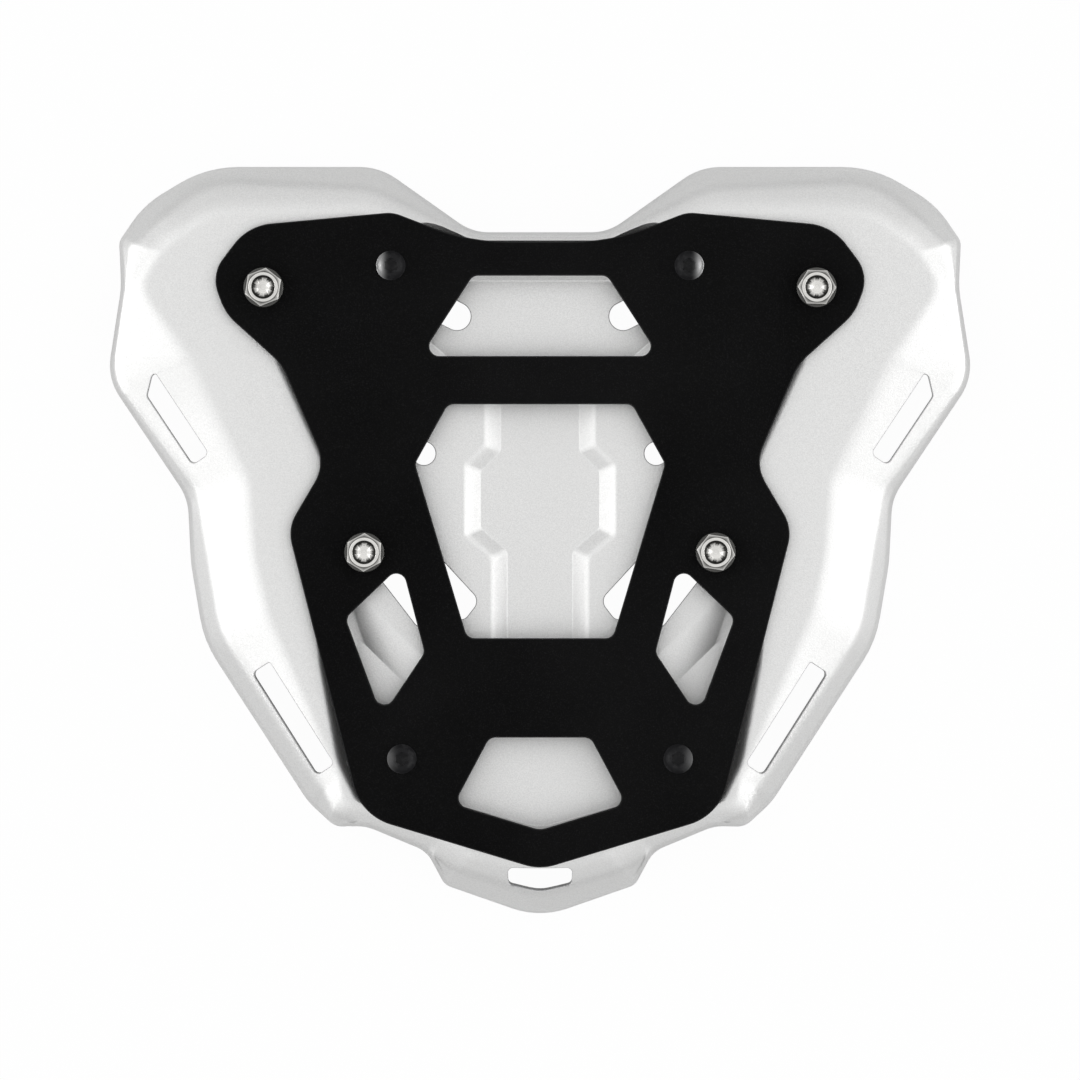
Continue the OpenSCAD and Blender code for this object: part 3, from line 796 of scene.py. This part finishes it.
class RACK_OT_plate(bpy.types.Operator):
    """Build the adapter plate with rounded edges around its outline, windows and holes"""

    bl_idname = "rack.plate"
    bl_label = "Adapter plate"

    def execute(self, context):
        sizes, fasteners = context.scene.rack_plate, context.scene.rack_fasteners
        thick = PLATE_TOP - TRAY_TOP
        loops = [outline(both_halves(PLATE), 4, sizes.edge)]
        loops += [outline(both_halves(rows), 9, -sizes.edge) for rows in MIDDLE_WINDOWS]
        loops += [outline(rows, 9, -sizes.edge) for rows in (SIDE_WINDOW, mirrored(SIDE_WINDOW))]
        for table, thread in ((CASE_BOLTS, fasteners.bolt_d), (PLATE_SCREWS, fasteners.screw_d)):
            for name, x, y, lower in table:
                loops.append(round_points(x, y, thread / 2 + fasteners.clear + sizes.edge, 48))
        curve = bpy.data.curves.new("plate", "CURVE")
        curve.dimensions = "2D"
        curve.fill_mode = "BOTH"
        curve.extrude = (thick / 2 - sizes.edge) * MM
        curve.bevel_depth = sizes.edge * MM
        curve.bevel_resolution = 3
        for loop in loops:
            spline = curve.splines.new("POLY")
            spline.points.add(len(loop) - 1)
            spline.use_cyclic_u = True
            for point, p in zip(spline.points, loop):
                point.co = (p.x * MM, p.y * MM, 0, 1)
        drawn = new_object("plate_curve", curve)
        graph = bpy.context.evaluated_depsgraph_get()
        mesh = bpy.data.meshes.new_from_object(drawn.evaluated_get(graph))
        bpy.data.objects.remove(drawn)
        mesh.transform(Matrix.Translation((0, 0, (TRAY_TOP + thick / 2) * MM)))
        plate = new_object("plate", mesh)
        clean(plate, 0.00001)
        # Painted highlight: the points of the rounded top edge are marked in the attribute 'edge' for a
        # lighter colour.
        top = (PLATE_TOP - 0.6 * sizes.edge) * MM
        painted_edge_highlight = mesh.attributes.new("edge", "FLOAT", "POINT")
        painted_edge_highlight.data.foreach_set("value", [float(top < v.co.z and v.normal.z < 0.98) for v in mesh.vertices])
        mesh.materials.clear()
        mesh.materials.append(powder_coat(list(sizes.coat)))
        keep(plate, "plate", "adapter_plate")
        return {"FINISHED"}


def clean(piece, distance, sharp=35):
    """Merges doubles, points the faces outwards and smooths all but the sharp edges."""
    mesh = bmesh.new()
    mesh.from_mesh(piece.data)
    bmesh.ops.remove_doubles(mesh, verts=mesh.verts, dist=distance)
    bmesh.ops.recalc_face_normals(mesh, faces=mesh.faces)
    for face in mesh.faces:
        face.smooth = True
    for edge in mesh.edges:
        if edge.is_manifold and edge.calc_face_angle(0) > math.radians(sharp):
            edge.smooth = False
    mesh.to_mesh(piece.data)
    mesh.free()


# Fasteners. Each is one closed surface through rings around the Z axis, whose radius may change
# with the angle. A ring has SEGMENTS points.

SEGMENTS = 96


def hexagon(across_flats):
    def radius(angle):
        off = (angle + math.pi / 6) % (math.pi / 3) - math.pi / 6
        return across_flats / 2 / math.cos(off)

    return radius


def six_lobes(size):
    return lambda angle: (0.44 + 0.06 * math.cos(6 * angle)) * size


def circle(diameter):
    return lambda angle: diameter / 2


def spun_mesh(name, rings, thread=None, tube=False):
    """A closed mesh through rings of (radius by angle, height by radius or number).

    thread is (lowest, highest, pitch, depth) and cuts a helical groove into the rings between. A tube
    runs up the outside and back down its bore; any other mesh is capped at both ends.
    """
    points = []
    for radius, height in rings:
        for k in range(SEGMENTS):
            angle = 2 * math.pi * k / SEGMENTS
            r = radius(angle)
            z = height(r) if callable(height) else height
            if thread and thread[0] <= z <= thread[1] and isinstance(height, float):
                low, high, pitch, depth = thread
                turn = (z / pitch - k / SEGMENTS) % 1.0
                fade = min(1, (z - low) / pitch, (high - z) / pitch)
                r -= depth * fade * abs(1 - 2 * turn)
            points.append(Vector((r * math.cos(angle), r * math.sin(angle), z)))
    faces = []
    for k in range(len(rings) if tube else len(rings) - 1):
        here, after = k * SEGMENTS, (k + 1) % len(rings) * SEGMENTS
        for i in range(SEGMENTS):
            ahead = (i + 1) % SEGMENTS
            faces.append((here + i, here + ahead, after + ahead, after + i))
    if not tube:
        faces.append(tuple(reversed(range(SEGMENTS))))
        faces.append(tuple(range(len(points) - SEGMENTS, len(points))))
    mesh = bpy.data.meshes.new(name)
    mesh.from_pydata([p * MM for p in points], [], faces)
    return mesh


def remember_turning(mesh):
    """Stores each vertex's place on its own axis, which the turned finishes read."""
    layer = mesh.attributes.new("turning", "FLOAT_VECTOR", "POINT")
    layer.data.foreach_set("vector", [c for v in mesh.vertices for c in v.co])


def mark_painted_shade(mesh, zones):
    """Marks painted shade, where the colour is darkened to stand in for shade: zones of (inner radius, outer,
    low, high, share).
    """
    layer = mesh.attributes.new("soot", "FLOAT", "POINT")
    marks = []
    for v in mesh.vertices:
        radius, height = math.hypot(v.co.x, v.co.y) / MM, v.co.z / MM
        marks.append(max([z[4] for z in zones if z[0] < radius < z[1] and z[2] < height < z[3]], default=0.0))
    layer.data.foreach_set("value", marks)


def pattern_tree():
    """Geometry nodes that set a fastener on each point of a pattern, turned by the point's own angle."""
    tree = bpy.data.node_groups.new("fastener_pattern", "GeometryNodeTree")
    tree.interface.new_socket("Geometry", in_out="INPUT", socket_type="NodeSocketGeometry")
    tree.interface.new_socket("Fastener", in_out="INPUT", socket_type="NodeSocketObject")
    tree.interface.new_socket("Finish", in_out="INPUT", socket_type="NodeSocketMaterial")
    tree.interface.new_socket("Extra turn", in_out="INPUT", socket_type="NodeSocketFloat")
    tree.interface.new_socket("Geometry", in_out="OUTPUT", socket_type="NodeSocketGeometry")
    nodes, links = tree.nodes, tree.links
    entry, leave = nodes.new("NodeGroupInput"), nodes.new("NodeGroupOutput")
    master = nodes.new("GeometryNodeObjectInfo")
    turn = nodes.new("GeometryNodeInputNamedAttribute")
    turn.data_type = "FLOAT"
    turn.inputs["Name"].default_value = "turn"
    add = nodes.new("ShaderNodeMath")
    spin = nodes.new("ShaderNodeCombineXYZ")
    place = nodes.new("GeometryNodeInstanceOnPoints")
    real = nodes.new("GeometryNodeRealizeInstances")
    finish = nodes.new("GeometryNodeSetMaterial")
    links.new(entry.outputs["Geometry"], place.inputs["Points"])
    links.new(entry.outputs["Fastener"], master.inputs["Object"])
    links.new(master.outputs["Geometry"], place.inputs["Instance"])
    links.new(turn.outputs["Attribute"], add.inputs[0])
    links.new(entry.outputs["Extra turn"], add.inputs[1])
    links.new(add.outputs[0], spin.inputs["Z"])
    links.new(spin.outputs[0], place.inputs["Rotation"])
    links.new(place.outputs["Instances"], real.inputs["Geometry"])
    links.new(real.outputs["Geometry"], finish.inputs["Geometry"])
    links.new(entry.outputs["Finish"], finish.inputs["Material"])
    links.new(finish.outputs["Geometry"], leave.inputs["Geometry"])
    return tree


def set_on_pattern(name, mesh, places, finish, slot, nodes, extra=0.0):
    """Sets copies of a fastener's mesh on (x, y, z, turn) places and keeps them as one piece."""
    remember_turning(mesh)
    master = new_object(name + "_master", mesh)
    clean(master, 0.000001, 28)
    points = bpy.data.meshes.new(name)
    points.from_pydata([Vector(p[:3]) * MM for p in places], [], [])
    turns = points.attributes.new("turn", "FLOAT", "POINT")
    turns.data.foreach_set("value", [p[3] for p in places])
    piece = new_object(name, points)
    tree = bpy.data.node_groups.get("fastener_pattern") or pattern_tree()
    modifier = piece.modifiers.new("pattern", "NODES")
    modifier.node_group = tree
    inputs = {"Fastener": master, "Finish": finish, "Extra turn": extra}
    for item in tree.interface.items_tree:
        if item.in_out == "INPUT" and item.name in inputs:
            modifier[item.identifier] = inputs[item.name]
    graph = bpy.context.evaluated_depsgraph_get()
    made = bpy.data.meshes.new_from_object(piece.evaluated_get(graph))
    piece.modifiers.clear()
    piece.data = made
    bpy.data.objects.remove(master)
    keep(piece, slot, *nodes)


def levels(low, high, step):
    count = max(1, round((high - low) / step))
    return [low + (high - low) * k / count for k in range(count + 1)]


def shank_rings(foot, d, pitch):
    """The shank from its foot, with a chamfered end and rings close enough for a thread.

    The head's seat is at zero, and the plain shank under it needs no rings of its own.
    """
    rings = [(circle(d - 2 * pitch), foot), (circle(d - 0.1), foot + pitch)]
    top = min(-0.2, foot + 2.2 * d)
    rings += [(circle(d), float(z)) for z in levels(foot + pitch + 0.05, top, pitch / 6)]
    return rings, (foot - 1, top, pitch, 0.55 * pitch)


def hex_bolt_mesh(name, sizes, foot):
    """A hex bolt whose seat is at zero, with a chamfered head and a six-lobe recess."""
    af, head, lobe, deep = sizes.bolt_af, sizes.bolt_head, sizes.lobes, sizes.lobes_deep
    flat = 0.43 * af
    corner = af / 2 / math.cos(math.pi / 6)

    def cone(r):
        return head - (r - flat) * math.tan(math.radians(30))

    rings, thread = shank_rings(foot, sizes.bolt_d, sizes.bolt_pitch)
    rings += [(circle(sizes.bolt_d), 0), (hexagon(af - 0.5), 0), (hexagon(af), 0.25)]
    rings += [(hexagon(af), cone), (hexagon(af - 0.5), cone), (circle(2 * flat + 0.5), head - 0.14)]
    rings += [(circle(2 * flat), head - 0.02), (circle(2 * flat - 0.4), head), (circle(1.33 * lobe), head)]
    rings += [(circle(1.30 * lobe), head - 0.08), (circle(1.27 * lobe), head - 0.15)]
    rings += [(circle(1.10 * lobe), head - 1.2), (six_lobes(1.04 * lobe), head - 1.3)]
    rings += [(six_lobes(lobe), head - 1.4), (six_lobes(lobe), head - 1.9)]
    rings += [(circle(0.66 * lobe), head - 2.1), (circle(0.3 * lobe), head - 2.45)]
    rings += [(circle(0.1), head - deep)]
    mesh = spun_mesh(name, rings, thread)
    # Painted shade: the recess walls and the countersink round them, a dark line at the top of the chamfer, a
    # lighter share over the chamfer, and a painted contact shadow where the head meets the washer.
    mark_painted_shade(mesh, [
        (0.46 * lobe, 0.70 * lobe, head - deep, head - 0.02, 0.97),
        (flat + 0.1, flat + 0.35, head - 2.5, head - 0.05, 0.93),
        (flat + 0.3, corner - 0.28, head - 2.5, head - 0.1, 0.25),
        (0.45 * af, 0.6 * af, -0.1, 0.5, 0.97),
    ])
    return mesh


def button_screw_mesh(name, sizes, foot):
    """A button screw whose seat is at zero, with a domed head and a hex socket."""
    d, high, af = sizes.screw_head_d, sizes.screw_head, sizes.socket
    rise = high + 0.3
    dome = (rise * rise + d * d / 4) / (2 * rise)
    rings, thread = shank_rings(foot, sizes.screw_d, sizes.screw_pitch)
    rings += [(circle(sizes.screw_d), 0), (circle(d - 0.4), 0), (circle(d), 0.2)]
    low = rise - dome + math.sqrt(dome * dome - d * d / 4)
    for k in range(13):
        share = k / 12
        r = d / 2 * (1 - share) + 0.62 * af * share
        z = rise - dome + math.sqrt(dome * dome - r * r)
        rings.append((circle(2 * r), min(high - 0.02, max(z, low + 0.21))))
    rings += [(circle(1.19 * af), high - 0.1), (hexagon(af), high - 0.35)]
    rings += [(hexagon(af), high - 2.0), (circle(0.1), high - 2.6)]
    return spun_mesh(name, rings, thread)


def locknut_mesh(name, thread_d, af, high, play):
    """A hex locknut from its foot at minus high up to zero, with a rolled collar below."""
    body = 0.74 * high
    flat = 0.47 * af
    tan = math.tan(math.radians(30))
    bore = thread_d + play
    rings = [(circle(bore + 0.8), -0.01), (circle(2 * flat), 0), (hexagon(af), lambda r: -(r - flat) * tan)]
    rings += [(hexagon(af), lambda r: -body + (r - flat) * tan), (circle(2 * flat), -body)]
    rings += [(circle(0.86 * af), -body - 0.02), (circle(0.86 * af), -high + 0.9)]
    rings += [(circle(0.82 * af), -high + 0.3), (circle(0.76 * af), -high + 0.02)]
    rings += [(circle(bore + 1.8), -high), (circle(bore + 1.5), -high + 0.4)]
    rings += [(circle(bore + 1.2), -high + 1.2), (circle(bore), -high + 1.3), (circle(bore), -0.5)]
    return spun_mesh(name, rings[::-1], tube=True)


def tube_mesh(name, outer, bore, high, edge):
    """A washer or spacer from zero up, with broken edges. A ring near its rim parts two tones, which on the
    washers are two shares of painted shade.
    """
    rings = [(circle(bore + 2 * edge), 0), (circle(outer - 2 * edge), 0), (circle(outer), edge)]
    rings += [(circle(outer), high - edge), (circle(outer - 2 * edge), high), (circle(0.94 * outer), high)]
    rings += [(circle(bore + 2 * edge), high)]
    rings += [(circle(bore), high - edge), (circle(bore), edge)]
    return spun_mesh(name, rings, tube=True)


def nodes_of(prefix, table):
    return [prefix + row[0] for row in table]


class RACK_OT_hex_bolts(bpy.types.Operator):
    """Build the hex bolts with their six-lobe recess and thread, and their washers"""

    bl_idname = "rack.hex_bolts"
    bl_label = "Hex bolts and washers"

    def execute(self, context):
        sizes, sheet = context.scene.rack_fasteners, context.scene.rack_tray.sheet
        steel = turned_metal("turned_steel", list(sizes.steel), 0.21, 0.35)
        seat = PLATE_TOP + sizes.washer_t
        reach = sheet + sizes.nut_ratio * sizes.bolt_d + sizes.thread_out + seat
        turned = math.radians(sizes.bolt_turn)
        for kind in ("wide", "waist"):
            table = [row for row in CASE_BOLTS if row[0].startswith(kind)]
            # The heads stand further round towards +X, as they happened to be tightened.
            places = [(x, y, seat, math.radians(0.17 * x)) for name, x, y, lower in table]
            mesh = hex_bolt_mesh(f"hex_bolts_{kind}", sizes, TRAY_TOP - table[0][3] - reach)
            set_on_pattern(mesh.name, mesh, places, steel, "steel", nodes_of("hex_bolt_", table), turned)
        places = [(x, y, PLATE_TOP, 0.0) for name, x, y, lower in CASE_BOLTS]
        mesh = tube_mesh("washers", sizes.washer_d, sizes.bolt_d + sizes.play, sizes.washer_t, 0.22)
        # Painted shade over nearly all of each washer, a little darker on its top inside the rim, for the
        # shade under and around the hex head.
        rim, far = sizes.washer_d / 2 - 0.3, sizes.washer_d
        mark_painted_shade(mesh, [(0, rim, 0.5, far, 0.9), (0, far, -1, far, 0.85)])
        set_on_pattern("washers", mesh, places, steel, "steel", nodes_of("washer_", CASE_BOLTS))
        return {"FINISHED"}


class RACK_OT_button_screws(bpy.types.Operator):
    """Build the black button screws with their hex socket and thread"""

    bl_idname = "rack.button_screws"
    bl_label = "Button screws"

    def execute(self, context):
        sizes, sheet = context.scene.rack_fasteners, context.scene.rack_tray.sheet
        reach = sheet + sizes.nut_ratio * sizes.screw_d + sizes.thread_out + PLATE_TOP
        # How strong the painted highlight on the outer side of a head is: strong on the wide screws, faint on
        # the lip screws.
        for kind, painted_highlight_share in (("wide", 0.97), ("lip", 0.12)):
            black = black_oxide(f"black_oxide_{kind}", list(sizes.black), painted_highlight_share)
            table = [row for row in PLATE_SCREWS if row[0].startswith(kind)]
            places = [(x, y, PLATE_TOP, math.pi if x < 0 else 0.0) for name, x, y, lower in table]
            mesh = button_screw_mesh(f"button_screws_{kind}", sizes, TRAY_TOP - table[0][3] - reach)
            set_on_pattern(mesh.name, mesh, places, black, "black_screw", nodes_of("button_screw_", table))
        return {"FINISHED"}


class RACK_OT_nuts(bpy.types.Operator):
    """Build the locknuts and the spacers under the plate"""

    bl_idname = "rack.nuts"
    bl_label = "Locknuts and spacers"

    def execute(self, context):
        sizes, sheet = context.scene.rack_fasteners, context.scene.rack_tray.sheet
        zinc = turned_metal("zinc_plate", list(sizes.zinc), 0.33, 0.5)
        bright = turned_metal("turned_aluminium", list(sizes.spacer), 0.32, 0.3)
        kinds = [
            ("bolt_nuts", "bolt_nut_", CASE_BOLTS, sizes.bolt_d, sizes.bolt_af),
            ("screw_nuts", "screw_nut_", PLATE_SCREWS, sizes.screw_d, sizes.screw_nut_af),
        ]
        for name, prefix, table, thread, af in kinds:
            mesh = locknut_mesh(name, thread, af, sizes.nut_ratio * thread, sizes.play)
            places = [(x, y, TRAY_TOP - lower - sheet - sizes.nut_gap, 0.0) for _, x, y, lower in table]
            set_on_pattern(name, mesh, places, zinc, "zinc", nodes_of(prefix, table))
        kinds = [
            ("bolt_spacers", "bolt_spacer_", CASE_BOLTS[2:], sizes.bolt_d),
            ("screw_spacers", "screw_spacer_", PLATE_SCREWS[2:], sizes.screw_d),
        ]
        for name, prefix, table, thread in kinds:
            mesh = tube_mesh(name, sizes.spacer_d, thread + sizes.play, table[0][3], 0.3)
            places = [(x, y, TRAY_TOP - lower, 0.0) for _, x, y, lower in table]
            set_on_pattern(name, mesh, places, bright, "spacer", nodes_of(prefix, table))
        return {"FINISHED"}


# The stage


class RACK_OT_stage(bpy.types.Operator):
    """Set up the camera straight above, the pale floor and the soft studio light"""

    bl_idname = "rack.stage"
    bl_label = "Stage"

    def execute(self, context):
        sizes, scene = context.scene.rack_stage, context.scene
        scene.view_settings.view_transform = "Standard"
        camera = bpy.data.objects.new("camera", bpy.data.cameras.new("camera"))
        scene.collection.objects.link(camera)
        camera.location = (0, 0, sizes.camera_height)
        sensor, half_tray = 36, 0.012
        camera.data.sensor_width = sensor
        camera.data.lens = sensor * (sizes.camera_height - half_tray) / sizes.picture_width
        camera.data.clip_end = 20
        scene.camera = camera
        self.floor()
        self.world(sizes)
        for side in (-1, 1):
            self.soft_box("soft_box", side, (1.15, 1.25), (0.7, 1.8), sizes.side_light)
            self.soft_box("low_strip", side, (1.3, 0.32), (0.24, 1.2), sizes.low_light)
        return {"FINISHED"}

    def floor(self):
        mesh = bpy.data.meshes.new("floor")
        z = -0.0003
        mesh.from_pydata([(-4, -4, z), (4, -4, z), (4, 4, z), (-4, 4, z)], [], [(0, 1, 2, 3)])
        floor = new_object("floor", mesh)
        made = Finish("pale_floor")
        tree = made.tree
        speck = made.noise(60, 3)
        made.dress(Base_Color=made.mix(speck, grey(0.68), grey(0.72)), Roughness=0.9, Specular_IOR_Level=0.1)
        light = made.add("ShaderNodeLightPath", output="Is Camera Ray")
        glossy = Value(tree, light.socket.node.outputs["Is Glossy Ray"])
        through = Value(tree, light.socket.node.outputs["Is Transmission Ray"])
        glow = made.add("ShaderNodeEmission", {}, {"Color": (1, 1, 1, 1), "Strength": 1.0})
        ahead = made.add("ShaderNodeSeparateXYZ", {}, {"Vector": made.place}, "Y")
        reflected = made.spread(ahead, -0.17, 0.17, 0.0, 0.10)
        seen = light * 0.97 + glossy * reflected + through * 0.8
        shader = Value(tree, made.shader.outputs[0])
        mixed = made.add("ShaderNodeMixShader", {}, {0: seen, 1: shader, 2: glow})
        put(tree, tree.nodes["Material Output"].inputs["Surface"], mixed)
        mesh.materials.append(made.material)

    def world(self, sizes):
        world = bpy.data.worlds.new("studio")
        bpy.context.scene.world = world
        world.use_nodes = True
        tree = world.node_tree
        back = tree.nodes["Background"]
        place = tree.nodes.new("ShaderNodeTexCoord")
        split = tree.nodes.new("ShaderNodeSeparateXYZ")
        tree.links.new(place.outputs["Generated"], split.inputs[0])
        up, ahead = Value(tree, split.outputs["Z"]), Value(tree, split.outputs["Y"])
        above = up.math("MAXIMUM", up, 0.0)
        level = above ** 0.6 * (sizes.zenith - sizes.horizon) + sizes.horizon
        level = level + ahead * above * sizes.ahead
        level = level - ahead.math("MINIMUM", ahead, 0.0) * above * sizes.behind
        put(tree, back.inputs["Color"], (1, 1, 1, 1))
        tree.links.new(level.socket, back.inputs["Strength"])

    def soft_box(self, name, side, spot, size, power):
        """A rectangular lamp beside the rack, turned to face it."""
        light = bpy.data.lights.new(name, "AREA")
        light.shape = "RECTANGLE"
        light.size, light.size_y = size
        light.energy = power
        box = bpy.data.objects.new(name, light)
        bpy.context.scene.collection.objects.link(box)
        box.location = (side * spot[0], 0, spot[1])
        box.rotation_euler = (0, side * math.atan2(*spot), 0)


class RACK_PT_panel(bpy.types.Panel):
    """Lists the operators that build the rack"""

    bl_label = "Luggage rack"
    bl_idname = "RACK_PT_panel"
    bl_space_type = "VIEW_3D"
    bl_region_type = "UI"
    bl_category = "Rack"

    def draw(self, context):
        for operator in OPERATORS:
            self.layout.operator(operator.bl_idname)


GROUPS = {
    "rack_tray": RackTray,
    "rack_plate": RackPlate,
    "rack_fasteners": RackFasteners,
    "rack_stage": RackStage,
}
OPERATORS = [
    RACK_OT_stage,
    RACK_OT_tray,
    RACK_OT_plate,
    RACK_OT_hex_bolts,
    RACK_OT_button_screws,
    RACK_OT_nuts,
]


def register():
    for cls in [*GROUPS.values(), *OPERATORS, RACK_PT_panel]:
        bpy.utils.register_class(cls)
    for name, group in GROUPS.items():
        setattr(bpy.types.Scene, name, bpy.props.PointerProperty(type=group))


def unregister():
    for name in GROUPS:
        delattr(bpy.types.Scene, name)
    for cls in reversed([*GROUPS.values(), *OPERATORS, RACK_PT_panel]):
        bpy.utils.unregister_class(cls)


def main():
    register()
    bpy.ops.rack.stage()
    bpy.ops.rack.tray()
    bpy.ops.rack.plate()
    bpy.ops.rack.hex_bolts()
    bpy.ops.rack.button_screws()
    bpy.ops.rack.nuts()


if __name__ == "__main__":
    main()
